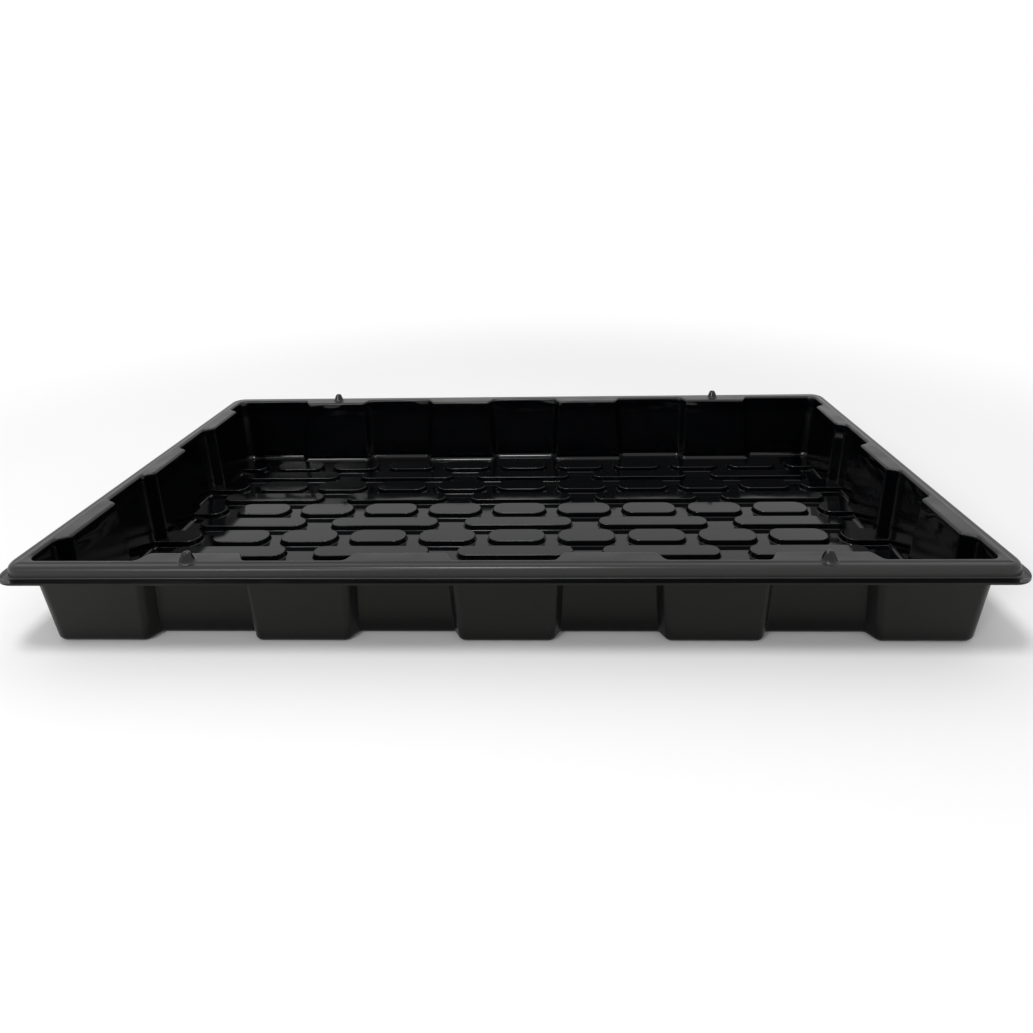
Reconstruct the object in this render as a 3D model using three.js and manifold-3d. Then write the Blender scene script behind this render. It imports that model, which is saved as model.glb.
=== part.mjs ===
// A plant growing tray: one black plastic sheet, vacuum formed into a shallow box with fluted walls, a floor of
// raised pads and a turned-down rim. The sheet is modelled whole, then split into its floor, walls and rim.
// Millimetres, +Z up. The origin is on the ground under the middle of the tray, with +X along its length.

import * as THREE from 'three';
import { mergeVertices } from 'three/addons/utils/BufferGeometryUtils.js';
import Module from 'manifold-3d';

const wasm = await Module();
wasm.setup();

// Sheet and rim
const SHEET = 1.2; // thickness of the formed sheet
const RIM_LENGTH = 538; // along X, across the skirt's outer faces at their top
const RIM_WIDTH = 277; // along Y, likewise
const RIM_HEIGHT = 53.5; // ground to the rim's top face
const RIM_CORNER_RADIUS = 9;
const RIM_ROUND = 2.4; // outer edge, where the top face turns down into the skirt
const FLANGE_WIDTH = 8; // skirt's outer face to the wall's inner face, beside an outward bay
const MOUTH_ROUND = 1.6; // inner edge, where the top face turns down into the wall
const SKIRT_HEIGHT = 7.2; // rim's top face to the lip's underside
const SKIRT_FLARE = 0.5; // how far the skirt leans out at its foot
const LIP_WIDTH = 4; // flat trim lip, standing out from the skirt's foot

// Walls and their flutes: recesses between outward bays
const WALL_DRAFT = THREE.MathUtils.degToRad(7);
const WALL_CORNER_RADIUS = 7; // inner face
const COVE_RADIUS = 3; // inside, between floor and wall
const FLUTE_DEPTH = 7.5; // how far a recess stands in from the bays
const FLUTE_FLANK = 4.2; // run of a sloping flank along the wall
const FLUTE_SPREAD = 6; // how much longer a recess is at the ground than at the rim
const LONG_FLUTE_PITCH = 113.7;
const LONG_RECESS_LENGTH = 48.3; // outer face, at the rim
const SHORT_FLUTE_PITCH = 84.5;
const SHORT_RECESS_LENGTH = 38.3;
const LEAST_CORNER_BAY = 2; // straight wall between the last flank and a corner's arc

// Floor pads: sizes are those of the flat tops
const PAD_HEIGHT = 3.8; // above the floor
const PAD_DRAFT = THREE.MathUtils.degToRad(14);
const PAD_ROW_PITCH = 19.7;
const PAD_COLUMN_PITCH = 49.1; // short ovals; the long bars have every second place
const OVAL_LENGTH = 39.5;
const OVAL_WIDTH = 15.8;
const BAR_LENGTH = 78;
const BAR_WIDTH = 11.9;
const PAD_CLEARANCE = 4; // least flat floor between a whole pad and a recess

// Lugs on the rim, which keep stacked trays from jamming
const LUG_HEIGHT = 5.5;
const LUG_BASE_DIAMETER = 8.6;
const LUG_TIP_DIAMETER = 4;
const LUG_INSET = 6.4; // skirt's outer face to the lug's axis

// Where the sheet is split into its regions
const FLOOR_SPLIT_CLEARANCE = 0.3; // above the pads' tops
const RIM_SPLIT_DROP = 1.5; // below the lip's underside
const SPLIT_MARGIN = 10; // how far the cutting solids stand clear of the sheet

// Steps of the rounded forms
const CORNER_STEPS = 6;
const ROUND_STEPS = 3;
const PAD_END_STEPS = 4;
const LUG_STEPS = 12;

const FLOOR_SPLIT = SHEET + PAD_HEIGHT + FLOOR_SPLIT_CLEARANCE;
const LIP_UNDERSIDE = RIM_HEIGHT - SKIRT_HEIGHT;
const RIM_SPLIT = LIP_UNDERSIDE - RIM_SPLIT_DROP;
const COVE_TOP = SHEET + COVE_RADIUS;
const FLANK_TURN = Math.tan(Math.atan2(FLUTE_DEPTH, FLUTE_FLANK) / 2);

// Distance from the skirt's outer face in to the inner face of a bay, at one height
const wallInset = (z) => FLANGE_WIDTH + (RIM_HEIGHT - z) * Math.tan(WALL_DRAFT);

// The flat floor's half sizes between recesses
const FLOOR_INSET = wallInset(COVE_TOP) + COVE_RADIUS + FLUTE_DEPTH;
const FLOOR_HALF_LENGTH = RIM_LENGTH / 2 - FLOOR_INSET;
const FLOOR_HALF_WIDTH = RIM_WIDTH / 2 - FLOOR_INSET;

// Places that are a whole number of pitches apart, centred, as many as a run has room for
function centred(run, pitch, size) {
  const count = Math.max(0, Math.floor((run - size) / pitch) + 1);
  return Array.from({ length: count }, (_, i) => (i - (count - 1) / 2) * pitch);
}

// The middles of one wall's recesses
function recessCentres(rimSize, pitch, recess) {
  const run = rimSize - 2 * (wallInset(0) + WALL_CORNER_RADIUS + LEAST_CORNER_BAY);
  return centred(run, pitch, recess + FLUTE_SPREAD + 2 * FLUTE_FLANK);
}

const LONG_RECESSES = recessCentres(RIM_LENGTH, LONG_FLUTE_PITCH, LONG_RECESS_LENGTH);
const SHORT_RECESSES = recessCentres(RIM_WIDTH, SHORT_FLUTE_PITCH, SHORT_RECESS_LENGTH);

// The front, right, rear and left sides in turn: the same side turned by quarter turns about the middle
const SIDES = [
  { name: 'front', long: true, turn: (x, y) => [x, y] },
  { name: 'right', long: false, turn: (x, y) => [-y, x] },
  { name: 'rear', long: true, turn: (x, y) => [-x, -y] },
  { name: 'left', long: false, turn: (x, y) => [y, -x] },
];

// A side's half length and its distance from the middle, for a ring that lies inset from the skirt's outer face
function sideReach(side, inset) {
  const halves = [RIM_LENGTH / 2 - inset, RIM_WIDTH / 2 - inset];
  return side.long ? halves : halves.reverse();
}

// Where one side's flutes turn, as places along the side and depths into the tray
function flutePoints(side, z, offset, depth) {
  const [centres, recess] = side.long ? [LONG_RECESSES, LONG_RECESS_LENGTH] : [SHORT_RECESSES, SHORT_RECESS_LENGTH];
  const half = (recess + FLUTE_SPREAD * (1 - z / RIM_HEIGHT)) / 2 + offset * FLANK_TURN;
  return centres.flatMap((centre) => [
    [centre - half - FLUTE_FLANK, 0],
    [centre - half, depth],
    [centre + half, depth],
    [centre + half + FLUTE_FLANK, 0],
  ]);
}

// A ring round the tray at one height, counter-clockwise: each side's flutes, then the arc of its corner
function ring(z, inset, corner, flutes) {
  const points = [];
  for (const side of SIDES) {
    const [along, out] = sideReach(side, inset);
    const add = (x, y) => points.push(new THREE.Vector3(...side.turn(x, y), z));
    for (const [place, depth] of flutes(side)) add(place, depth - out);
    for (let step = 0; step <= CORNER_STEPS; step++) {
      const angle = ((step / CORNER_STEPS) * Math.PI) / 2;
      add(along - corner * (1 - Math.sin(angle)), corner * (1 - Math.cos(angle)) - out);
    }
  }
  return points;
}

// A fluted ring of the wall, offset inwards from its inner face as that is at faceHeight
function wallRing(z, offset, faceHeight = z) {
  const flutes = (side) => flutePoints(side, faceHeight, offset + SHEET, FLUTE_DEPTH);
  return ring(z, wallInset(faceHeight) + offset, WALL_CORNER_RADIUS - offset, flutes);
}

// A plain ring of the rim, inset from the skirt's outer face
function rimRing(z, inset) {
  const flutes = (side) => flutePoints(side, RIM_HEIGHT, SHEET, 0);
  return ring(z, inset, RIM_CORNER_RADIUS - inset, flutes);
}

// Angles of a quarter round
const quarterRound = Array.from({ length: ROUND_STEPS + 1 }, (_, i) => ((i / ROUND_STEPS) * Math.PI) / 2);

// Rounded edge of the rim's top: from the skirt up to the top face, for the outer or the inner surface
function rimRound(depth) {
  const radius = RIM_ROUND - depth;
  return quarterRound.map((angle) =>
    rimRing(RIM_HEIGHT - RIM_ROUND + radius * Math.sin(angle), RIM_ROUND - radius * Math.cos(angle)),
  );
}

// The outside of the walls, from the underside of the floor up to the underside of the rim
function outsideRings() {
  const radius = COVE_RADIUS + SHEET;
  const bottomRound = quarterRound.map((angle) =>
    wallRing(COVE_TOP - radius * Math.cos(angle), COVE_RADIUS - radius * Math.sin(angle), COVE_TOP),
  );
  return [...bottomRound, wallRing(RIM_HEIGHT - SHEET, -SHEET)];
}

// The inside of the walls, from the rim's top face down to the floor
function insideRings() {
  const mouth = quarterRound
    .slice(1)
    .map((angle) =>
      wallRing(RIM_HEIGHT - MOUTH_ROUND * (1 - Math.cos(angle)), MOUTH_ROUND * (Math.sin(angle) - 1)),
    );
  const cove = quarterRound.map((angle) =>
    wallRing(COVE_TOP - COVE_RADIUS * Math.sin(angle), COVE_RADIUS * (1 - Math.cos(angle)), COVE_TOP),
  );
  return [wallRing(RIM_HEIGHT, -MOUTH_ROUND), ...mouth, ...cove];
}

// The rim: inside of the skirt, lip, outside of the skirt and rounded edge
function rimRings() {
  const lipTop = LIP_UNDERSIDE + SHEET;
  return [
    ...rimRound(SHEET).reverse(),
    rimRing(LIP_UNDERSIDE, SHEET - SKIRT_FLARE),
    rimRing(LIP_UNDERSIDE, -SKIRT_FLARE - LIP_WIDTH),
    rimRing(lipTop, -SKIRT_FLARE - LIP_WIDTH),
    rimRing(lipTop, -SKIRT_FLARE),
    ...rimRound(0),
  ];
}

// A closed body through rings of equally many points, capped at both ends
function loft(rings) {
  const count = rings[0].length;
  const last = (rings.length - 1) * count;
  const index = [];
  for (let level = 0; level < last; level += count) {
    for (let i = 0; i < count; i++) {
      const [a, b] = [level + i, level + ((i + 1) % count)];
      index.push(a, b, b + count, a, b + count, a + count);
    }
  }
  const cap = (points) => THREE.ShapeUtils.triangulateShape(points, []);
  for (const [a, b, c] of cap(rings[0])) index.push(c, b, a);
  for (const [a, b, c] of cap(rings[rings.length - 1])) index.push(last + a, last + b, last + c);
  return new THREE.BufferGeometry().setFromPoints(rings.flat()).setIndex(index);
}

// A solid that can be joined and cut, from a closed geometry
function solid(geometry) {
  geometry.deleteAttribute('normal');
  geometry.deleteAttribute('uv');
  const merged = mergeVertices(geometry);
  return new wasm.Manifold(
    new wasm.Mesh({
      numProp: 3,
      vertProperties: Float32Array.from(merged.attributes.position.array),
      triVerts: Uint32Array.from(merged.index.array),
    }),
  );
}

// The places and sizes of the pads: rows of short ovals alternate with rows of long bars, and the row in the middle
// has bars. Each row of ovals ends in two lobes that run into the end walls.
function floorPads() {
  const foot = 2 * (PAD_HEIGHT * Math.tan(PAD_DRAFT) + PAD_CLEARANCE);
  const half = Math.floor((FLOOR_HALF_WIDTH - (OVAL_WIDTH + foot) / 2) / PAD_ROW_PITCH);
  const columns = (pitch, length) => Math.floor((FLOOR_HALF_LENGTH - (length + foot) / 2) / pitch);
  const whole = [];
  const lobes = [];
  for (let row = -half; row <= half; row++) {
    const y = row * PAD_ROW_PITCH;
    const oval = row % 2 !== 0;
    const [length, width] = oval ? [OVAL_LENGTH, OVAL_WIDTH] : [BAR_LENGTH, BAR_WIDTH];
    const pitch = oval ? PAD_COLUMN_PITCH : 2 * PAD_COLUMN_PITCH;
    const end = columns(pitch, length);
    for (let column = -end; column <= end; column++) whole.push({ x: column * pitch, y, length, width });
    if (oval) {
      for (const column of [-end - 1, end + 1]) lobes.push({ x: column * pitch, y, length, width });
    }
  }
  return { whole, lobes };
}

// The outline of a pad at one height: straight sides and half-round ends, offset outwards
function padRing({ x, y, length, width }, z, offset) {
  const radius = width / 2 + offset;
  const reach = (length - width) / 2;
  const points = [];
  for (const end of [1, -1]) {
    for (let step = 0; step <= PAD_END_STEPS; step++) {
      const angle = (step / PAD_END_STEPS) * Math.PI;
      points.push(
        new THREE.Vector3(
          x + end * (reach + radius * Math.sin(angle)),
          y - end * radius * Math.cos(angle),
          z,
        ),
      );
    }
  }
  return points;
}

// The body between two heights inside a pad's drafted sides, or inside its underside
function padBody(pad, bottom, top, skin) {
  const padTop = SHEET + PAD_HEIGHT;
  const sides = (z) => (padTop - z) * Math.tan(PAD_DRAFT) - skin / Math.cos(PAD_DRAFT);
  return solid(loft([padRing(pad, bottom, sides(bottom)), padRing(pad, top, sides(top))]));
}

const padBump = (pad) => padBody(pad, SHEET / 2, SHEET + PAD_HEIGHT, 0);
const padHollow = (pad) => padBody(pad, -SHEET, PAD_HEIGHT, SHEET);

// A blunt cone with its base below the rim's top face
function lugBody(x, y, base, tip, bottom, top) {
  const profile = [
    new THREE.Vector2(0, bottom),
    new THREE.Vector2(base / 2, bottom),
    new THREE.Vector2(tip / 2, top),
    new THREE.Vector2(0, top),
  ];
  const cone = new THREE.LatheGeometry(profile, LUG_STEPS);
  cone.rotateX(Math.PI / 2);
  cone.translate(x, y, RIM_HEIGHT);
  return solid(cone);
}

// The lugs stand on the wide rim over the outermost recesses of the long walls
function lugPlaces() {
  const x = Math.max(...LONG_RECESSES);
  const y = RIM_WIDTH / 2 - LUG_INSET;
  return [
    [-x, -y],
    [x, -y],
    [-x, y],
    [x, y],
  ];
}

const lugBump = ([x, y]) => lugBody(x, y, LUG_BASE_DIAMETER, LUG_TIP_DIAMETER, -SHEET / 2, LUG_HEIGHT);

function lugHollow([x, y]) {
  const skin = 2 * SHEET;
  return lugBody(x, y, LUG_BASE_DIAMETER - skin, LUG_TIP_DIAMETER - skin, -2 * SHEET, LUG_HEIGHT - SHEET);
}

// The whole formed sheet
function formedSheet() {
  const outside = outsideRings();
  const inside = insideRings();
  const { whole, lobes } = floorPads();
  const union = (bodies) => wasm.Manifold.union(bodies);
  const tub = solid(loft(outside));
  const floorRing = inside[inside.length - 1];
  const atHeight = (z) => floorRing.map((point) => point.clone().setZ(z));
  const floorPrism = solid(loft([atHeight(-2 * SHEET), atHeight(FLOOR_SPLIT)]));
  return solid(loft([...outside, ...rimRings(), ...inside]))
    .add(union(whole.map(padBump)))
    .add(union(lobes.map(padBump)).intersect(tub))
    .add(union(lugPlaces().map(lugBump)))
    .subtract(union(whole.map(padHollow)))
    .subtract(union(lobes.map(padHollow)).intersect(floorPrism))
    .subtract(union(lugPlaces().map(lugHollow)));
}

// The quarter of the space on one side of the tray, between two heights and the planes through its corners
function quarter(side, bottom, top) {
  const out = SPLIT_MARGIN + LIP_WIDTH + SKIRT_FLARE;
  const inwards = SPLIT_MARGIN + FLOOR_INSET;
  const [outerAlong, outer] = sideReach(side, -out);
  const [innerAlong, inner] = sideReach(side, inwards);
  const corners = [
    [-outerAlong, -outer],
    [outerAlong, -outer],
    [innerAlong, -inner],
    [-innerAlong, -inner],
  ];
  const atHeight = (z) => corners.map(([x, y]) => new THREE.Vector3(...side.turn(x, y), z));
  return solid(loft([atHeight(bottom), atHeight(top)]));
}

// Everything below one height
function groundSlab(top) {
  const slab = new THREE.BoxGeometry(RIM_LENGTH, RIM_WIDTH, top + SPLIT_MARGIN);
  slab.translate(0, 0, (top - SPLIT_MARGIN) / 2);
  return solid(slab);
}

// Finishes: the floor is glossy, the walls and the rim are duller
const floorFinish = () => new THREE.MeshStandardMaterial({ color: 0x121315, roughness: 0.22, metalness: 0 });
const wallFinish = () => new THREE.MeshStandardMaterial({ color: 0x191918, roughness: 0.38, metalness: 0 });
const rimFinish = () => new THREE.MeshStandardMaterial({ color: 0x202020, roughness: 0.45, metalness: 0 });

// One named region of the sheet
function region(name, body, material) {
  const { vertProperties, triVerts } = body.getMesh();
  const geometry = new THREE.BufferGeometry();
  geometry.setAttribute('position', new THREE.BufferAttribute(vertProperties, 3));
  geometry.setIndex(new THREE.BufferAttribute(triVerts, 1));
  geometry.computeVertexNormals();
  const mesh = new THREE.Mesh(geometry, material);
  mesh.name = name;
  return mesh;
}

function tray() {
  const sheet = formedSheet();
  const group = new THREE.Group();
  group.add(region('floor_pan', sheet.intersect(groundSlab(FLOOR_SPLIT)), floorFinish()));
  const rimTop = RIM_HEIGHT + LUG_HEIGHT + SPLIT_MARGIN;
  for (const side of SIDES) {
    const wall = sheet.intersect(quarter(side, FLOOR_SPLIT, RIM_SPLIT));
    const rim = sheet.intersect(quarter(side, RIM_SPLIT, rimTop));
    group.add(region(`${side.name}_wall`, wall, wallFinish()));
    group.add(region(`${side.name}_rim`, rim, rimFinish()));
  }
  return group;
}

export default tray();
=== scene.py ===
"""Looks of a plant growing tray: one black plastic sheet, vacuum formed, on a white studio floor."""

import math
from contextlib import contextmanager

import bmesh
import bpy
from bpy.props import FloatProperty, FloatVectorProperty, IntProperty, PointerProperty
from mathutils import Matrix, Vector


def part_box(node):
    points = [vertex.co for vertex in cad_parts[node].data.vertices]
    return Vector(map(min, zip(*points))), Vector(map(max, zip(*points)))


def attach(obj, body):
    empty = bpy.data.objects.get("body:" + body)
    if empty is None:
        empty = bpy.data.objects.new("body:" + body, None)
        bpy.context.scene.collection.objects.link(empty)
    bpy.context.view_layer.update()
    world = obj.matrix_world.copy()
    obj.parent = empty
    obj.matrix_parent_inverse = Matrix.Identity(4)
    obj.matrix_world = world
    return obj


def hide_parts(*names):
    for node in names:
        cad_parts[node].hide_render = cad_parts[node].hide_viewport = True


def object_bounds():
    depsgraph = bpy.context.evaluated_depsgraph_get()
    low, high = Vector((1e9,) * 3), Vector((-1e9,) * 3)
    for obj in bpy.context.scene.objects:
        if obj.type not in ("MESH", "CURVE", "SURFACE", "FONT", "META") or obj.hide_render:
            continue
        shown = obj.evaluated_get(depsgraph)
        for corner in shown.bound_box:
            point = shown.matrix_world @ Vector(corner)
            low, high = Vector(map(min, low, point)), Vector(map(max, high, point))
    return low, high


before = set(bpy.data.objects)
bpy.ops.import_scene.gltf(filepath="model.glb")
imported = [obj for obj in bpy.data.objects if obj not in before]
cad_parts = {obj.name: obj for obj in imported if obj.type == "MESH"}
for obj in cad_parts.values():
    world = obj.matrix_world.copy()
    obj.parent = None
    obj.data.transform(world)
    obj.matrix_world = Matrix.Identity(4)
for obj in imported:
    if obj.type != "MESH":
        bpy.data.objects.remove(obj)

CAD_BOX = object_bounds()
FLOOR_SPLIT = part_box("floor_pan")[1].z
RIM_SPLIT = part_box("front_wall")[1].z
SHEET_NAME = "sheet"
TINY = 2e-5  # metres, for finding points by their place
BLOCK_MARGIN = 0.015  # how far the blocks that part the sheet stand clear of it
BLOCK_DEPTH = 0.04  # how far they reach in from the skirt
FLUTE_SEGMENTS = 5
CORNER_SEGMENTS = 12
ROUND_SEGMENTS = 5
FORM_SEGMENTS = 4  # of a pad's foot and top edge
SMOOTH_ANGLE = 30  # degrees, above which an edge stays sharp
TURN_ANGLE = 40  # degrees, above which an edge of the rim is a turn of the sheet
MERGE = TINY / 10  # metres, within which points are one

# Where the finish changes, each time as the start and the end of a soft step
SKIRT_STARTS = (-0.006, -0.004)  # metres from the skirt's outer face
SKIRT_ENDS = (0.0006, 0.0012)
TOP_STARTS = (-0.0022, -0.0006)  # metres from the rim's top face
LUG_STARTS = (0.0004, 0.002)
WALL_STARTS = (0.1, 0.35)  # shares of the rim's height
UPPER_STARTS = (0.72, 0.94)
DUST_SHOWS = (0.66, 0.78)  # values of its noise
NOISE_MEAN = 0.5

RIPPLE = {"scale": 34.0, "detail": 1.0}
RIPPLE_STRETCH = (1.0, 1.0, 2.2)  # the waves are longer along the walls than up them
RIPPLE_LEVELS = (0.3, 4.0)  # everywhere, and added under the rim
RIPPLE_BUMP = {"Strength": 0.35, "Distance": 0.0012}
GRAIN = {"scale": 2600.0, "detail": 2.0}
GRAIN_DEPTH = 0.00004
CLOUD = {"scale": 90.0, "detail": 3.0}
DUST = {"scale": 900.0, "detail": 3.0, "roughness": 0.7}
ROUGHER = {"wall": 0.1, "cloud": 0.04, "dust": 0.12}  # what each adds to the roughness
GREYER = {"rim": 0.8, "cloud": 0.12, "dust": 0.15}  # what each adds to the share of greyer black: on the rim a painted sheen, elsewhere random tone and dust

FLOOR_EXTENT = 8.0
FLOOR_FADE = (0.34, 0.8)  # how far from the tray's middle the floor goes over into white
FLOOR_CLOUD = {"scale": 3.0}
FLOOR_DARKEST = 0.97  # of the floor's colour
FLOOR_ROUGHNESS = 0.85
AMBIENT = 0.7  # of the backdrop's light that falls on the tray
TOP_LIGHT = {"place": (-0.15, -0.5, 1.4), "extent": (0.34, 0.28), "power": 9.0}
FRONT_LIGHT = {"place": (-0.7, -1.2, 0.8), "extent": (0.3, 0.3), "power": 5.0}
CAMERA_PLACE = (0.0287, -0.465, 0.2555)
CAMERA_TURN = (-1.76, 8.82, -1.10)  # degrees to the right, down and clockwise
CAMERA_LENS = 23.72
CAMERA_SHIFT = (-0.016, -0.229)  # the tray sits low in the frame
CAMERA_NEAR = 0.01  # metres, from which on things are seen

bl_info = {
    "name": "Plant growing tray",
    "version": (1, 0, 0),
    "blender": (4, 5, 0),
    "location": "3D View > Sidebar > Tray",
    "description": "Forms a growing tray from one sheet of black plastic",
    "category": "Object",
}


def length(label, description, default):
    return FloatProperty(name=label, description=description, default=default, min=0.0, unit="LENGTH")


def angle(label, description, degrees):
    return FloatProperty(name=label, description=description, default=math.radians(degrees), subtype="ANGLE")


def share(label, description, default):
    return FloatProperty(
        name=label, description=description, default=default, min=0.0, max=1.0, subtype="FACTOR"
    )


def count(label, description, default):
    return IntProperty(name=label, description=description, default=default, min=1)


def colour(label, description, default):
    return FloatVectorProperty(
        name=label, description=description, default=default, min=0.0, max=1.0, size=3, subtype="COLOR"
    )


class TrayRimSizes(bpy.types.PropertyGroup):
    """Sheet thickness, rim and lugs."""

    sheet: length("Sheet", "Thickness of the formed sheet", 0.0012)
    lip_width: length("Lip", "Flat trim lip round the skirt's foot", 0.004)
    skirt_height: length("Skirt", "Rim's top face to the lip's underside", 0.0072)
    skirt_flare: length("Flare", "How far the skirt leans out at its foot", 0.0005)
    corner_radius: length("Corner", "Radius of the rim's corners", 0.009)
    edge_round: length("Edge round", "Where the top face turns down into the skirt", 0.0024)
    foot_round: length("Foot round", "Where the skirt turns out into the lip", 0.0008)
    lug_height: length("Lug", "Height of the stacking lugs", 0.0055)
    lug_base: length("Lug base", "Diameter of a lug where it leaves the rim", 0.0086)
    lug_tip: length("Lug tip", "Diameter of a lug's blunt end", 0.004)
    lug_round: length("Lug round", "Foot and top edge of a lug", 0.0014)
    lug_inset: length("Lug inset", "Skirt's outer face to a lug's axis", 0.0064)


class TrayWallSizes(bpy.types.PropertyGroup):
    """Sloping walls and their flutes."""

    flange: length("Flange", "Skirt's outer face to the inner face of a bay, at the top", 0.008)
    mouth_round: length("Mouth round", "Where the rim's top face turns down into the wall", 0.0016)
    draft: angle("Draft", "Slope of the walls from upright", 7.0)
    corner_radius: length("Corner", "Radius of the walls' inner corners", 0.007)
    cove: length("Cove", "Radius between wall and floor", 0.003)
    flute_depth: length("Flute depth", "How far a recess stands in from the bays", 0.0075)
    flute_flank: length("Flute flank", "Run of a sloping flank along the wall", 0.0042)
    flute_spread: length("Flute spread", "How much longer a recess is at the ground than at the rim", 0.006)
    recess_round: length("Recess edge", "Radius of the edges that stand into the tray", 0.0022)
    bay_round: length("Bay edge", "Radius of the edges at the back of the bays", 0.0034)
    long_recesses: count("Long recesses", "Recesses in a long wall", 4)
    long_pitch: length("Long pitch", "Spacing of the recesses in a long wall", 0.1137)
    long_recess: length("Long recess", "Length of a long wall's recess at the rim", 0.0483)
    short_recesses: count("Short recesses", "Recesses in a short wall", 3)
    short_pitch: length("Short pitch", "Spacing of the recesses in a short wall", 0.0845)
    short_recess: length("Short recess", "Length of a short wall's recess at the rim", 0.0383)


class TrayPadSizes(bpy.types.PropertyGroup):
    """Raised pads of the floor."""

    height: length("Height", "Pad tops above the floor", 0.0038)
    draft: angle("Draft", "Slope of the pads' sides from upright", 14.0)
    foot_round: length("Foot round", "Where a pad rises from the floor", 0.0007)
    edge_round: length("Edge round", "Top edge of a pad", 0.0005)
    row_pitch: length("Row pitch", "Spacing of the rows across the tray", 0.0197)
    column_pitch: length("Column pitch", "Spacing of the ovals along the tray", 0.0491)
    oval_rows: count("Oval rows", "Rows of short ovals", 6)
    oval_columns: count("Ovals in a row", "Whole ovals, between the two lobes that run into the end walls", 9)
    oval_length: length("Oval length", "Top of an oval, along the tray", 0.0395)
    oval_width: length("Oval width", "Top of an oval, across the tray", 0.0158)
    bar_rows: count("Bar rows", "Rows of long bars", 5)
    bar_columns: count("Bars in a row", "Bars, two column pitches apart", 5)
    bar_length: length("Bar length", "Top of a bar, along the tray", 0.078)
    bar_width: length("Bar width", "Top of a bar, across the tray", 0.0119)


class TrayFinish(bpy.types.PropertyGroup):
    """Colour and gloss of the plastic, and the studio round it."""

    plastic: colour("Plastic", "Black of the formed sheet", (0.0006, 0.0008, 0.0013))
    # A greyer black for dust and random tone, and on the rim and the skirt a painted sheen
    dust_and_sheen: colour("Dust and sheen", "Greyer black of dust, random tone and the painted sheen on the rim", (0.015, 0.0149, 0.0142))
    gloss: share("Gloss", "Roughness of the stretched inside", 0.07)
    satin: share("Satin", "Roughness of the rim and of the outside", 0.3)
    floor: colour("Floor", "Studio floor", (0.87, 0.87, 0.87))
    backdrop: colour("Backdrop", "Light that surrounds the tray", (1.0, 1.0, 1.0))


GROUPS = {
    "tray_rim": TrayRimSizes,
    "tray_wall": TrayWallSizes,
    "tray_pad": TrayPadSizes,
    "tray_finish": TrayFinish,
}


def sizes(group):
    return getattr(bpy.context.scene, group)


def rim_height():
    return CAD_BOX[1].z - sizes("tray_rim").lug_height


def skirt_reach():
    """Half length and half width of the tray across the skirt's outer faces, at their top."""
    rim = sizes("tray_rim")
    beyond = rim.lip_width + rim.skirt_flare
    return CAD_BOX[1].x - beyond, CAD_BOX[1].y - beyond


def along_axis(axis, amount):
    """A vector along X, Y or Z."""
    vector = Vector((0.0, 0.0, 0.0))
    vector[axis] = amount
    return vector


def centred(number, pitch):
    return [(i - (number - 1) / 2) * pitch for i in range(number)]


def fluted_sides():
    """For the long sides, then the short ones: the axis across the wall, the axis along it,
    the middles of its recesses and half the length of one."""
    wall = sizes("tray_wall")
    turn = math.atan2(wall.flute_depth, wall.flute_flank)
    skin = sizes("tray_rim").sheet * math.tan(turn / 2)
    return (
        (1, 0, centred(wall.long_recesses, wall.long_pitch), wall.long_recess / 2 + skin),
        (0, 1, centred(wall.short_recesses, wall.short_pitch), wall.short_recess / 2 + skin),
    )


def near(a, b):
    return abs(a - b) < TINY


def deselect():
    bpy.ops.object.select_all(action="DESELECT")


def activate(piece):
    deselect()
    piece.select_set(True)
    bpy.context.view_layer.objects.active = piece


@contextmanager
def editing(piece):
    """Edit mode on one piece alone."""
    activate(piece)
    bpy.ops.object.mode_set(mode="EDIT")
    yield
    bpy.ops.object.mode_set(mode="OBJECT")


def select(piece, kind, test):
    """Selects, in edit mode, the piece's vertices, edges or faces that pass a test."""
    bpy.ops.mesh.select_mode(type=kind)
    bpy.ops.mesh.select_all(action="DESELECT")
    mesh = bmesh.from_edit_mesh(piece.data)
    for element in {"VERT": mesh.verts, "EDGE": mesh.edges, "FACE": mesh.faces}[kind]:
        if test(element):
            element.select_set(True)
    mesh.select_flush_mode()
    bmesh.update_edit_mesh(piece.data)


def selected_points(piece):
    """Indices of the vertices that are selected in edit mode."""
    mesh = bmesh.from_edit_mesh(piece.data)
    return {vert.index for vert in mesh.verts if vert.select}


def add_modifier(piece, kind, **settings):
    """Adds a modifier and applies it."""
    activate(piece)
    modifier = piece.modifiers.new(kind.lower(), kind)
    for name, value in settings.items():
        setattr(modifier, name, value)
    bpy.ops.object.modifier_apply(modifier=modifier.name)


def combine(piece, tool, operation):
    """Joins a closed body to the piece, cuts it away or keeps only what both hold. The tool is used up."""
    add_modifier(piece, "BOOLEAN", operation=operation, solver="MANIFOLD", object=tool)
    bpy.data.objects.remove(tool)


def copy_of(piece, name):
    activate(piece)
    bpy.ops.object.duplicate(linked=False)
    copy = bpy.context.object
    copy.name = name
    return copy


def add_primitive(primitive, name, extent, place):
    """A plane or a cube with its size and its place in its mesh."""
    deselect()
    primitive(size=1, location=place)
    piece = bpy.context.object
    piece.name = name
    piece.scale = extent
    bpy.ops.object.transform_apply(location=True, rotation=True, scale=True)
    return piece


def add_rectangle(name, extent_x, extent_y, place):
    return add_primitive(bpy.ops.mesh.primitive_plane_add, name, (extent_x, extent_y, 1), place)


def add_block(name, extent, place):
    """A plain block, used to trim other bodies."""
    return add_primitive(bpy.ops.mesh.primitive_cube_add, name, extent, place)


def bevel(affect, distance, segments):
    """Rounds the selected corners or edges, starting a distance from them."""
    bpy.ops.mesh.bevel(
        affect=affect,
        offset_type="OFFSET",
        offset=distance,
        segments=segments,
        profile=0.5,
        clamp_overlap=False,
    )


def round_corners(piece, test, distance, segments):
    """Turns corners of a flat outline into arcs that start a distance along their edges."""
    select(piece, "VERT", test)
    bevel("VERTICES", distance, segments)


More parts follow.
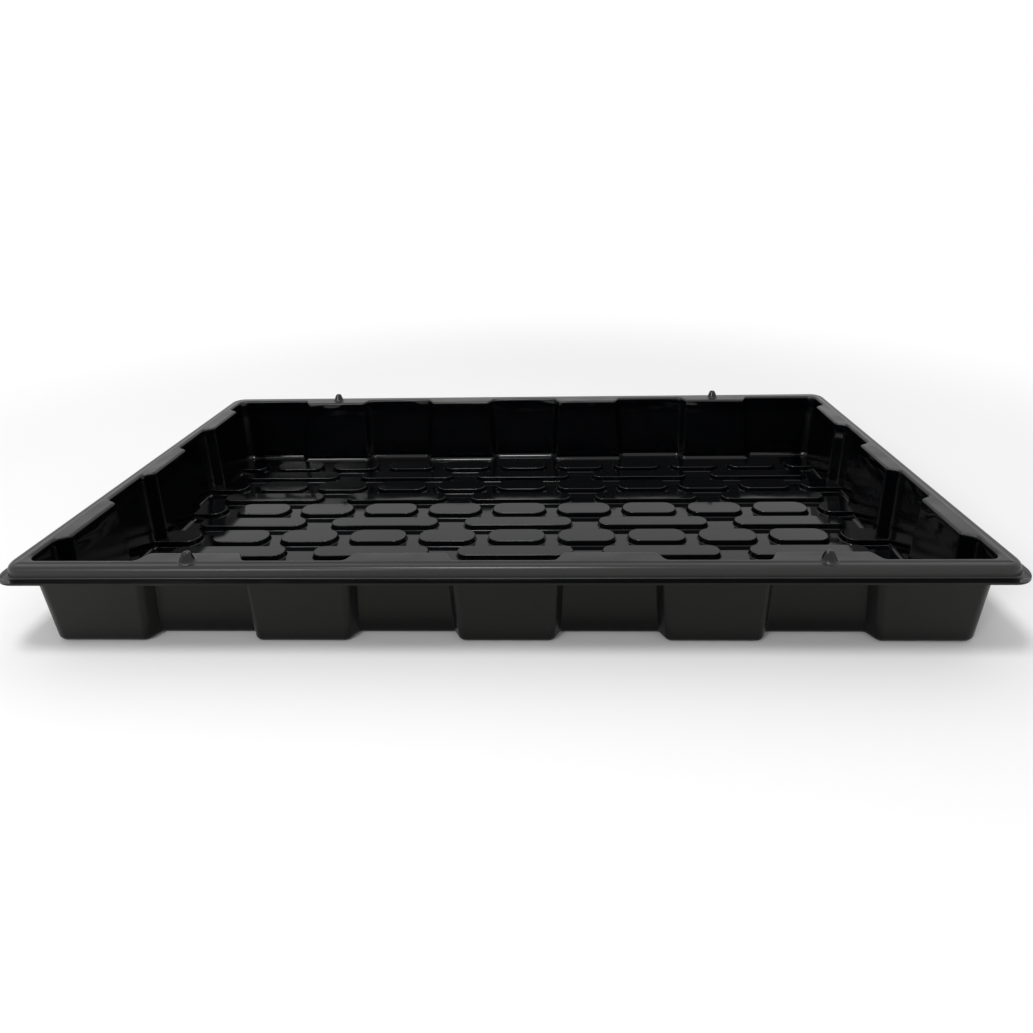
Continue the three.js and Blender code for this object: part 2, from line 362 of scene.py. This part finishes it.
def round_edges(piece, test, distance, segments):
    select(piece, "EDGE", test)
    bevel("EDGES", distance, segments)


def mouth_reach():
    """Half length and half width between the inner faces of opposite bays, at the rim's top."""
    flange = sizes("tray_wall").flange
    half_length, half_width = skirt_reach()
    return half_length - flange, half_width - flange


def mouth_outline(name):
    """A flat face with the outline of the tray's mouth: bays and recesses, and rounded corners."""
    wall = sizes("tray_wall")
    reach = mouth_reach()
    tangent = math.tan(math.atan2(wall.flute_depth, wall.flute_flank) / 2)
    outline = add_rectangle(name, 2 * reach[0], 2 * reach[1], (0, 0, rim_height()))
    with editing(outline):
        for _, along, middles, half in fluted_sides():
            for middle in middles:
                for place in (-half - wall.flute_flank, -half, half, half + wall.flute_flank):
                    bpy.ops.mesh.select_all(action="SELECT")
                    cut = along_axis(along, middle + place)
                    bpy.ops.mesh.bisect(plane_co=cut, plane_no=along_axis(along, 1))
        bpy.ops.mesh.select_all(action="SELECT")
        bpy.ops.mesh.dissolve_faces()

        def is_corner(vert):
            return near(abs(vert.co.x), reach[0]) and near(abs(vert.co.y), reach[1])

        for across, along, middles, half in fluted_sides():
            for sign in (-1, 1):

                def in_recess(vert):
                    on_side = near(vert.co[across], sign * reach[across])
                    return on_side and any(abs(vert.co[along] - m) < half + TINY for m in middles)

                select(outline, "VERT", in_recess)
                bpy.ops.transform.translate(value=along_axis(across, -sign * wall.flute_depth))
        depth = wall.flute_depth

        def at_recess(vert):
            return near(abs(vert.co.x), reach[0] - depth) or near(abs(vert.co.y), reach[1] - depth)

        def at_bay(vert):
            on_side = near(abs(vert.co.x), reach[0]) or near(abs(vert.co.y), reach[1])
            return on_side and not is_corner(vert)

        round_corners(outline, at_recess, wall.recess_round * tangent, FLUTE_SEGMENTS)
        round_corners(outline, at_bay, wall.bay_round * tangent, FLUTE_SEGMENTS)
        round_corners(outline, is_corner, wall.corner_radius, CORNER_SEGMENTS)
    return outline


def hollow_body(name, floor):
    """The space inside the tray, down to a floor height: sloping fluted walls and a cove all round."""
    wall = sizes("tray_wall")
    reach = mouth_reach()
    drop = rim_height() - floor
    slope = drop * math.tan(wall.draft)
    depth = max(wall.corner_radius, wall.flute_depth) + TINY
    body = mouth_outline(name)
    with editing(body):
        bpy.ops.mesh.select_all(action="SELECT")
        bpy.ops.mesh.extrude_region_move(TRANSFORM_OT_translate={"value": (0, 0, -drop)})
        for axis in (0, 1):
            for sign in (-1, 1):
                start = reach[axis] - depth
                select(body, "VERT", lambda v: near(v.co.z, floor) and sign * v.co[axis] > start)
                bpy.ops.transform.translate(value=along_axis(axis, -sign * slope))
        for across, along, middles, _ in fluted_sides():
            start = reach[across] - depth - slope
            end = reach[along] - wall.corner_radius - slope - 10 * TINY
            for sign in (-1, 1):

                def on_flank(vert):
                    place = vert.co[along]
                    nearest = min(middles, key=lambda m: abs(place - m))
                    on_side = near(vert.co.z, floor) and abs(vert.co[across]) > start and abs(place) < end
                    return on_side and sign * (place - nearest) > 0

                select(body, "VERT", on_flank)
                spread = wall.flute_spread / 2 * drop / rim_height()
                bpy.ops.transform.translate(value=along_axis(along, sign * spread))
        tangent = wall.cove * math.tan(math.pi / 4 - wall.draft / 2)
        round_edges(body, lambda e: all(near(v.co.z, floor) for v in e.verts), tangent, ROUND_SEGMENTS + 1)
    return body


def raised_form(name, place, top, rise, draft, foot_round, edge_round, skin=0.0):
    """A closed body with half-round ends and drafted sides, rounded at its foot and over its top edge.
    Its top has its size before rounding, and its place is on the surface that it stands on.
    With a skin, it is the hollow that the same form has behind a sheet of that thickness."""
    turn = math.pi / 2 - draft
    foot_round += skin
    edge_round = max(edge_round - skin, TINY)
    foot_tangent = foot_round * math.tan(turn / 2)
    edge_tangent = edge_round * math.tan(turn / 2)
    run = rise * math.tan(draft)
    # The foot starts a little under the surface, so that it crosses it cleanly
    sunk = foot_round * (1 - math.cos(turn / FORM_SEGMENTS / 2))
    root = sizes("tray_rim").sheet / 2
    spread = 2 * (run + foot_tangent - skin * math.tan(turn / 2))
    steps = [turn * i / FORM_SEGMENTS for i in range(FORM_SEGMENTS + 1)]
    start = run + foot_tangent
    foot = [(start - foot_round * math.sin(a), foot_round * (1 - math.cos(a)) - sunk) for a in steps]
    steps.reverse()
    edge = [(edge_round * math.sin(a) - edge_tangent, rise - edge_round * (1 - math.cos(a))) for a in steps]
    profile = foot + edge
    low = Vector(place) - Vector((0, 0, skin + sunk + root))
    form = add_rectangle(name, top[0] + spread, top[1] + spread, low)
    with editing(form):
        round_corners(form, lambda v: True, (top[1] + spread) / 2, 2 * FORM_SEGMENTS)
        bpy.ops.mesh.select_all(action="SELECT")
        bpy.ops.mesh.remove_doubles(threshold=MERGE)
        bpy.ops.mesh.select_all(action="SELECT")
        bpy.ops.mesh.extrude_region_move(TRANSFORM_OT_translate={"value": (0, 0, root)})
        for (out, lower), (inner, higher) in zip(profile, profile[1:]):
            bpy.ops.mesh.inset(thickness=out - inner, depth=higher - lower, use_even_offset=True)
        bpy.ops.mesh.select_all(action="SELECT")
        bpy.ops.mesh.normals_make_consistent(inside=False)
    return form


def array(piece, number, pitch):
    add_modifier(
        piece,
        "ARRAY",
        count=number,
        use_relative_offset=False,
        use_constant_offset=True,
        constant_offset_displace=pitch,
    )


def pad_field(name, columns, column_pitch, rows, top, skin=0.0):
    """Rows of like pads, as closed bodies that stand on the floor."""
    pad = sizes("tray_pad")
    row_pitch = 2 * pad.row_pitch
    first = (centred(columns, column_pitch)[0], centred(rows, row_pitch)[0], sizes("tray_rim").sheet)
    field = raised_form(name, first, top, pad.height, pad.draft, pad.foot_round, pad.edge_round, skin)
    array(field, columns, (column_pitch, 0, 0))
    array(field, rows, (0, row_pitch, 0))
    return field


def pad_bodies(skin):
    """All the pads as closed bodies, or with a skin the hollows under them. The lobes, which end each row of
    ovals and run into the end walls, are trimmed to the tray's inside."""
    pad = sizes("tray_pad")
    oval = (pad.oval_length, pad.oval_width)
    bar = (pad.bar_length, pad.bar_width)
    lobe_pitch = (pad.oval_columns + 1) * pad.column_pitch
    ovals = pad_field("ovals", pad.oval_columns, pad.column_pitch, pad.oval_rows, oval, skin)
    bars = pad_field("bars", pad.bar_columns, 2 * pad.column_pitch, pad.bar_rows, bar, skin)
    lobes = pad_field("lobes", 2, lobe_pitch, pad.oval_rows, oval, skin)
    inside = flat_floor() if skin else behind_face(hollow_body("inside", sizes("tray_rim").sheet))
    combine(lobes, inside, "INTERSECT")
    deselect()
    for field in (ovals, bars, lobes):
        field.select_set(True)
    bpy.context.view_layer.objects.active = ovals
    bpy.ops.object.join()
    return ovals


def add_pads(sheet):
    """Raises the pads from the floor, hollow underneath."""
    combine(sheet, pad_bodies(0.0), "UNION")
    combine(sheet, pad_bodies(sizes("tray_rim").sheet), "DIFFERENCE")


def behind_face(body):
    """Grows the space inside the tray by half the sheet's thickness."""
    with editing(body):
        bpy.ops.mesh.select_all(action="SELECT")
        bpy.ops.mesh.normals_make_consistent(inside=False)
        bpy.ops.transform.shrink_fatten(value=sizes("tray_rim").sheet / 2, use_even_offset=True)
    return body


def flat_floor():
    """A block over the flat floor between the recesses of opposite walls."""
    wall = sizes("tray_wall")
    inset = wall.flute_depth + wall.cove + rim_height() * math.tan(wall.draft)
    half_length, half_width = (side - inset for side in mouth_reach())
    return add_block("block", (2 * half_length, 2 * half_width, rim_height()), (0, 0, 0))


def place_rim_ring(piece, ring, reach, radius, old_reach, old_radius):
    """Moves a ring of points from one rounded outline to a rounded rectangle round it."""
    for sign_x in (-1, 1):
        for sign_y in (-1, 1):
            old = [old_reach[0] - old_radius, old_reach[1] - old_radius]
            new = [reach[0] - radius, reach[1] - radius]

            def in_corner(vert):
                right = sign_x * vert.co.x > old[0] - TINY
                return vert.index in ring and right and sign_y * vert.co.y > old[1] - TINY

            select(piece, "VERT", in_corner)
            grow = radius / old_radius
            bpy.ops.transform.resize(
                value=(grow, grow, 1), center_override=(sign_x * old[0], sign_y * old[1], rim_height())
            )
            bpy.ops.transform.translate(value=(sign_x * (new[0] - old[0]), sign_y * (new[1] - old[1]), 0))
    for across, along in ((1, 0), (0, 1)):
        for sign in (-1, 1):
            end = min(old_reach[along] - old_radius, reach[along] - radius) - TINY
            start = old_reach[across] - max(old_radius, sizes("tray_wall").flute_depth) - TINY

            def on_side(vert):
                beside = sign * vert.co[across] > start and abs(vert.co[along]) < end
                return vert.index in ring and beside

            select(piece, "VERT", on_side)
            flat = Vector((1.0, 1.0, 1.0))
            flat[across] = 0.0
            bpy.ops.transform.resize(value=flat, center_override=along_axis(across, sign * reach[across]))


def draw_out(sheet, drop, reach, radius, old_reach, old_radius):
    """Draws the sheet's open edge down by a drop and out to a rounded rectangle."""
    select(sheet, "EDGE", lambda e: e.is_boundary)
    bpy.ops.mesh.extrude_region_move(TRANSFORM_OT_translate={"value": (0, 0, -drop)})
    place_rim_ring(sheet, selected_points(sheet), reach, radius, old_reach, old_radius)


def add_rim(sheet):
    """Draws the sheet out from the mouth: top face, skirt and lip."""
    rim = sizes("tray_rim")
    wall = sizes("tray_wall")
    top = rim_height()
    outer = skirt_reach()
    foot = [side + rim.skirt_flare for side in outer]
    lip = [side + rim.lip_width for side in foot]
    foot_radius = rim.corner_radius + rim.skirt_flare
    lip_radius = foot_radius + rim.lip_width
    drop = rim.skirt_height - rim.sheet
    with editing(sheet):
        select(sheet, "FACE", lambda f: near(f.calc_center_median().z, top))
        bpy.ops.mesh.delete(type="FACE")
        draw_out(sheet, 0, outer, rim.corner_radius, mouth_reach(), wall.corner_radius)
        draw_out(sheet, drop, foot, foot_radius, outer, rim.corner_radius)
        draw_out(sheet, 0, lip, lip_radius, foot, foot_radius)
        middle = [side - wall.flange / 2 for side in outer]

        def turns(edge):
            return len(edge.link_faces) == 2 and edge.calc_face_angle() > math.radians(TURN_ANGLE)

        def outside(edge):
            return any(abs(v.co.x) > middle[0] or abs(v.co.y) > middle[1] for v in edge.verts)

        def at(edge, height):
            return all(near(v.co.z, height) for v in edge.verts)

        def turn_at(height, far):
            return lambda edge: turns(edge) and at(edge, height) and outside(edge) == far

        mouth_tangent = wall.mouth_round * math.tan(math.pi / 4 - wall.draft / 2)
        round_edges(sheet, turn_at(top, False), mouth_tangent, ROUND_SEGMENTS)
        round_edges(sheet, turn_at(top, True), rim.edge_round, ROUND_SEGMENTS + 1)
        round_edges(sheet, turn_at(top - drop, True), rim.foot_round, ROUND_SEGMENTS - 2)


def add_lugs(sheet):
    """Raises the four lugs on the rim, over the outermost recesses of the long walls."""
    rim = sizes("tray_rim")
    draft = math.atan2((rim.lug_base - rim.lug_tip) / 2, rim.lug_height)
    form = ((rim.lug_tip, rim.lug_tip), rim.lug_height, draft, rim.lug_round, rim.lug_round)
    _, _, middles, _ = fluted_sides()[0]
    place = (middles[0], rim.lug_inset - skirt_reach()[1], rim_height())
    for operation, skin in (("UNION", 0.0), ("DIFFERENCE", rim.sheet)):
        lugs = raised_form("lugs", place, *form, skin)
        array(lugs, 2, (-2 * place[0], 0, 0))
        array(lugs, 2, (0, -2 * place[1], 0))
        combine(sheet, lugs, operation)


def divide_floor(sheet):
    """Cuts the flat floor between the rows and the columns of pads, so that no face has many holes."""
    pad = sizes("tray_pad")
    floor = sizes("tray_rim").sheet
    columns = centred(pad.oval_columns + 1, pad.column_pitch)
    rows = centred(pad.oval_rows + pad.bar_rows + 1, pad.row_pitch)
    with editing(sheet):
        for axis, places in enumerate((columns, rows)):
            for place in places:
                select(sheet, "FACE", lambda f: all(near(v.co.z, floor) for v in f.verts))
                bpy.ops.mesh.bisect(plane_co=along_axis(axis, place), plane_no=along_axis(axis, 1))


def formed_sheet():
    """The whole sheet, with its thickness."""
    rim = sizes("tray_rim")
    sheet = hollow_body(SHEET_NAME, rim.sheet)
    add_rim(sheet)
    divide_floor(sheet)
    with editing(sheet):
        bpy.ops.mesh.select_all(action="SELECT")
        bpy.ops.mesh.normals_make_consistent(inside=False)
        # The thickness goes outward from the tray's inside, so the floor has to face up
        mesh = bmesh.from_edit_mesh(sheet.data)
        lowest = min(mesh.faces, key=lambda f: f.calc_center_median().z)
        if lowest.normal.z < 0:
            bpy.ops.mesh.flip_normals()
    add_modifier(
        sheet, "SOLIDIFY", thickness=rim.sheet, offset=-1.0, use_even_offset=True, use_quality_normals=True
    )
    add_pads(sheet)
    add_lugs(sheet)
    return sheet


def side_block(across, along, sign, low, high):
    """A block round one side of the tray between two heights, mitred at the tray's corners."""
    half = skirt_reach()
    outer = [side + BLOCK_MARGIN for side in half]
    inner = [side - BLOCK_DEPTH for side in half]
    extent = Vector((0, 0, high - low))
    extent[along] = 2 * outer[along]
    extent[across] = outer[across] - inner[across]
    middle = Vector((0, 0, (low + high) / 2))
    middle[across] = sign * (outer[across] + inner[across]) / 2
    block = add_block("block", extent, middle)
    with editing(block):
        select(block, "VERT", lambda v: sign * v.co[across] < inner[across] + TINY)
        narrow = Vector((1.0, 1.0, 1.0))
        narrow[along] = inner[along] / outer[along]
        bpy.ops.transform.resize(value=narrow, center_override=(0, 0, 0))
    return block


def region(node, block):
    """One region of the sheet as a piece of its own, in place of its node."""
    piece = copy_of(bpy.data.objects[SHEET_NAME], node + "_form")
    combine(piece, block, "INTERSECT")
    piece.data.materials.clear()
    piece.data.materials.append(formed_black())
    piece.data.materials.append(mould_black())
    with editing(piece):
        bpy.ops.mesh.select_all(action="SELECT")
        bpy.ops.mesh.dissolve_degenerate(threshold=MERGE)
        # Faces that don't look up lay on the side of the mould
        select(piece, "FACE", lambda f: f.normal.z <= 0)
        piece.active_material_index = 1
        bpy.ops.object.material_slot_assign()
    activate(piece)
    bpy.ops.object.shade_smooth_by_angle(angle=math.radians(SMOOTH_ANGLE))
    add_modifier(piece, "WEIGHTED_NORMAL", mode="FACE_AREA", keep_sharp=True, weight=80)
    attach(piece, "root")
    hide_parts(node)


def side_regions(kind, low, high):
    """The four walls or the four rims. A side has an axis across it, an axis along it and a sign."""
    places = {"front": (1, 0, -1), "right": (0, 1, 1), "rear": (1, 0, 1), "left": (0, 1, -1)}
    for side, (across, along, sign) in places.items():
        region(f"{side}_{kind}", side_block(across, along, sign, low, high))


class Value:
    """A number in a material, so that shader maths reads as Python."""

    def __init__(self, finish, socket):
        self.finish = finish
        self.socket = socket

    def maths(self, operation, first, second):
        return self.finish.node("ShaderNodeMath", {"operation": operation}, {0: first, 1: second})

    def __add__(self, other):
        return self.maths("ADD", self, other)

    __radd__ = __add__

    def __sub__(self, other):
        return self.maths("SUBTRACT", self, other)

    def __rsub__(self, other):
        return self.maths("SUBTRACT", other, self)

    def __mul__(self, other):
        return self.maths("MULTIPLY", self, other)

    __rmul__ = __mul__


class Finish:
    """The nodes of one material or world."""

    def __init__(self, owner):
        owner.use_nodes = True
        self.tree = owner.node_tree
        self.tree.nodes.clear()

    def node(self, kind, settings=None, inputs=None, output=0):
        """Adds a node with its settings, then its sockets' values or links, and gives one of its outputs."""
        made = self.tree.nodes.new(kind)
        for name, value in (settings or {}).items():
            setattr(made, name, value)
        for name, value in (inputs or {}).items():
            if isinstance(value, Value):
                self.tree.links.new(value.socket, made.inputs[name])
            else:
                made.inputs[name].default_value = value
        return Value(self, made.outputs[output]) if made.outputs else made

    def vector(self, operation, *inputs):
        return self.node("ShaderNodeVectorMath", {"operation": operation}, dict(enumerate(inputs)))

    def part(self, vector, axis):
        return self.node("ShaderNodeSeparateXYZ", inputs={0: vector}, output=axis)

    def smooth(self, value, low, high):
        """0 below one value, 1 above another, and a soft step between."""
        settings = {"interpolation_type": "SMOOTHSTEP"}
        return self.node("ShaderNodeMapRange", settings, {"Value": value, "From Min": low, "From Max": high})

    def mix(self, factor, first, second):
        """A colour between two others."""
        inputs = {0: factor, 6: first, 7: second}
        return self.node("ShaderNodeMix", {"data_type": "RGBA"}, inputs, output=2)

    def noise(self, vector, scale, detail=2.0, roughness=0.5):
        inputs = {"Vector": vector, "Scale": scale, "Detail": detail, "Roughness": roughness}
        return self.node("ShaderNodeTexNoise", inputs=inputs)


def opaque(tint):
    return (*tint, 1.0)


def skirt_zone(finish, place):
    """1 on the skirt and the rim's outer part, 0 on the lip and on the inside."""
    beyond = finish.vector("SUBTRACT", finish.vector("ABSOLUTE", place), (*skirt_reach(), 0.0))
    ahead = finish.part(beyond, "X")
    out = ahead.maths("MAXIMUM", ahead, finish.part(beyond, "Y"))
    return finish.smooth(out, *SKIRT_STARTS) - finish.smooth(out, *SKIRT_ENDS)


def rim_zone(finish, height, skirt):
    """1 on the rim's top face and the skirt, 0 on the lugs, which are drawn thinner, and on the inside. It
    makes these rougher, and greyer as a painted sheen.
    """
    top = rim_height()
    flat = finish.smooth(height, *(top + step for step in TOP_STARTS))
    lug = finish.smooth(height, *(top + step for step in LUG_STARTS))
    return (1.0 - (1.0 - skirt) * (1.0 - flat)) * (1.0 - lug)


def plastic_finish(name, satin, grain, shine, sheen):
    """Black sheet plastic with a satin rim. Satin is how far the rest goes from gloss to satin, grain the
    strength of its fine texture, and shine and sheen the strength and the tint of its reflections."""
    found = bpy.data.materials.get(name)
    if found:
        return found
    look = sizes("tray_finish")
    material = bpy.data.materials.new(name)
    finish = Finish(material)
    place = finish.node("ShaderNodeTexCoord", output="Object")
    height = finish.part(place, "Z")
    top = rim_height()
    skirt = skirt_zone(finish, place)
    rim = rim_zone(finish, height, skirt)
    upper = finish.smooth(height, *(step * top for step in UPPER_STARTS))
    wall = finish.smooth(height, *(step * top for step in WALL_STARTS)) - upper
    cloud = finish.noise(place, **CLOUD) - NOISE_MEAN
    dust = finish.smooth(finish.noise(place, **DUST), *DUST_SHOWS)
    rough = (rim * (1.0 - satin) + satin) * (look.satin - look.gloss) + look.gloss
    rough = rough + wall * ROUGHER["wall"] + cloud * ROUGHER["cloud"] + dust * ROUGHER["dust"]
    # On the rim and the skirt the greyer black is a painted sheen; the cloud adds random tone and the dust
    # real dust
    tone = rim * GREYER["rim"] + cloud * GREYER["cloud"] + dust * GREYER["dust"]
    tint = finish.mix(tone, opaque(look.plastic), opaque(look.dust_and_sheen))
    everywhere, under_rim = RIPPLE_LEVELS
    waves = finish.noise(finish.vector("MULTIPLY", place, RIPPLE_STRETCH), **RIPPLE)
    ripple = {**RIPPLE_BUMP, "Height": waves * (upper * (1.0 - skirt) * under_rim + everywhere)}
    fine = {"Strength": grain, "Distance": GRAIN_DEPTH, "Height": finish.noise(place, **GRAIN)}
    fine["Normal"] = finish.node("ShaderNodeBump", inputs=ripple)
    normal = finish.node("ShaderNodeBump", inputs=fine)
    inputs = {"Base Color": tint, "Roughness": rough, "Normal": normal}
    inputs["Specular IOR Level"] = shine
    inputs["Specular Tint"] = opaque(sheen)
    surface = finish.node("ShaderNodeBsdfPrincipled", inputs=inputs)
    finish.node("ShaderNodeOutputMaterial", inputs={"Surface": surface})
    return material


def formed_black():
    """The inside, which was stretched freely."""
    return plastic_finish("formed_black", satin=0.0, grain=0.03, shine=0.34, sheen=(1.0, 1.0, 1.0))


def mould_black():
    """The outside, which faced the mould."""
    return plastic_finish("mould_black", satin=0.8, grain=0.3, shine=0.2, sheen=(1.0, 0.97, 0.88))


def studio_floor():
    """A pale floor that keeps the tray's shadow and goes over into the white backdrop."""
    look = sizes("tray_finish")
    floor = add_rectangle("studio_floor", FLOOR_EXTENT, FLOOR_EXTENT, (0, 0, 0))
    material = bpy.data.materials.new("pale_floor")
    finish = Finish(material)
    place = finish.node("ShaderNodeTexCoord", output="Object")
    distance = finish.node("ShaderNodeVectorMath", {"operation": "LENGTH"}, {0: place}, output="Value")
    far = finish.smooth(distance, *FLOOR_FADE)
    darkest = [FLOOR_DARKEST * part for part in look.floor]
    tint = finish.mix(finish.noise(place, **FLOOR_CLOUD), opaque(look.floor), opaque(darkest))
    matt = {"Base Color": tint, "Roughness": FLOOR_ROUGHNESS}
    pale = finish.node("ShaderNodeBsdfPrincipled", inputs=matt)
    white = finish.node("ShaderNodeEmission", inputs={"Color": opaque(look.backdrop), "Strength": 1.0})
    seen = finish.node("ShaderNodeLightPath", output="Is Camera Ray")
    mixed = finish.node("ShaderNodeMixShader", inputs={0: far * seen, 1: pale, 2: white})
    finish.node("ShaderNodeOutputMaterial", inputs={"Surface": mixed})
    floor.data.materials.append(material)


def backdrop():
    """White for what the camera and the plastic's gloss see, and a softer level for the rest."""
    look = sizes("tray_finish")
    world = bpy.data.worlds.new("backdrop")
    bpy.context.scene.world = world
    finish = Finish(world)
    seen = finish.node("ShaderNodeLightPath", output="Is Camera Ray")
    mirrored = finish.node("ShaderNodeLightPath", output="Is Glossy Ray")
    strength = AMBIENT + (seen + mirrored) * (1.0 - AMBIENT)
    shade = finish.node("ShaderNodeBackground", inputs={"Color": opaque(look.backdrop), "Strength": strength})
    finish.node("ShaderNodeOutputWorld", inputs={"Surface": shade})


def softbox(name, place, extent, power):
    """A soft lamp that faces the tray."""
    lamp = bpy.data.lights.new(name, "AREA")
    lamp.shape = "RECTANGLE"
    lamp.size, lamp.size_y = extent
    lamp.energy = power
    holder = bpy.data.objects.new(name, lamp)
    holder.location = place
    holder.rotation_euler = (-Vector(place)).to_track_quat("-Z", "Y").to_euler()
    bpy.context.scene.collection.objects.link(holder)


def add_camera():
    """The photograph's view: low, from the middle of the long side, a little turned and tilted."""
    yaw, pitch, roll = (math.radians(a) for a in CAMERA_TURN)
    forward = Vector((math.sin(yaw) * math.cos(pitch), math.cos(yaw) * math.cos(pitch), -math.sin(pitch)))
    right = Vector((math.cos(yaw), -math.sin(yaw), 0))
    up = right.cross(forward)
    across = math.cos(roll) * right + math.sin(roll) * up
    upward = math.cos(roll) * up - math.sin(roll) * right
    camera = bpy.data.cameras.new("camera")
    camera.lens = CAMERA_LENS
    camera.shift_x, camera.shift_y = CAMERA_SHIFT
    camera.clip_start = CAMERA_NEAR
    holder = bpy.data.objects.new("camera", camera)
    turn = Matrix((across, upward, -forward)).transposed().to_4x4()
    holder.matrix_world = Matrix.Translation(CAMERA_PLACE) @ turn
    bpy.context.scene.collection.objects.link(holder)
    bpy.context.scene.camera = holder


class TRAY_OT_formed_sheet(bpy.types.Operator):
    """Form the whole sheet"""

    bl_idname = "tray.formed_sheet"
    bl_label = "Formed sheet"

    def execute(self, context):
        formed_sheet()
        return {"FINISHED"}


class TRAY_OT_floor_pan(bpy.types.Operator):
    """Take the floor with its pads from the formed sheet"""

    bl_idname = "tray.floor_pan"
    bl_label = "Floor"

    def execute(self, context):
        half = [side + BLOCK_MARGIN for side in skirt_reach()]
        extent = (2 * half[0], 2 * half[1], FLOOR_SPLIT + BLOCK_MARGIN)
        region("floor_pan", add_block("block", extent, (0, 0, (FLOOR_SPLIT - BLOCK_MARGIN) / 2)))
        return {"FINISHED"}


class TRAY_OT_walls(bpy.types.Operator):
    """Take the four walls from the formed sheet"""

    bl_idname = "tray.walls"
    bl_label = "Walls"

    def execute(self, context):
        side_regions("wall", FLOOR_SPLIT, RIM_SPLIT)
        return {"FINISHED"}


class TRAY_OT_rims(bpy.types.Operator):
    """Take the four rims from the formed sheet"""

    bl_idname = "tray.rims"
    bl_label = "Rims"

    def execute(self, context):
        side_regions("rim", RIM_SPLIT, CAD_BOX[1].z + BLOCK_MARGIN)
        # The rims come last, so the whole sheet is no longer needed
        bpy.data.objects.remove(bpy.data.objects[SHEET_NAME])
        return {"FINISHED"}


class TRAY_OT_stage(bpy.types.Operator):
    """Set up the floor, the light and the camera"""

    bl_idname = "tray.stage"
    bl_label = "Stage"

    def execute(self, context):
        context.scene.view_settings.view_transform = "Standard"
        studio_floor()
        backdrop()
        softbox("top_light", **TOP_LIGHT)
        softbox("front_light", **FRONT_LIGHT)
        add_camera()
        return {"FINISHED"}


class TRAY_PT_sidebar(bpy.types.Panel):
    """The tray's steps and sizes"""

    bl_idname = "TRAY_PT_sidebar"
    bl_label = "Plant growing tray"
    bl_space_type = "VIEW_3D"
    bl_region_type = "UI"
    bl_category = "Tray"

    def draw(self, context):
        for step in STEPS:
            self.layout.operator(step.bl_idname)
        for name, group in GROUPS.items():
            box = self.layout.box()
            for field in group.__annotations__:
                box.prop(getattr(context.scene, name), field)


STEPS = (TRAY_OT_formed_sheet, TRAY_OT_floor_pan, TRAY_OT_walls, TRAY_OT_rims, TRAY_OT_stage)
CLASSES = (*GROUPS.values(), *STEPS, TRAY_PT_sidebar)


def register():
    for cls in CLASSES:
        bpy.utils.register_class(cls)
    for name, group in GROUPS.items():
        setattr(bpy.types.Scene, name, PointerProperty(type=group))


def unregister():
    for name in GROUPS:
        delattr(bpy.types.Scene, name)
    for cls in reversed(CLASSES):
        bpy.utils.unregister_class(cls)


def main():
    register()
    bpy.ops.tray.formed_sheet()
    bpy.ops.tray.floor_pan()
    bpy.ops.tray.walls()
    bpy.ops.tray.rims()
    bpy.ops.tray.stage()


if __name__ == "__main__":
    main()
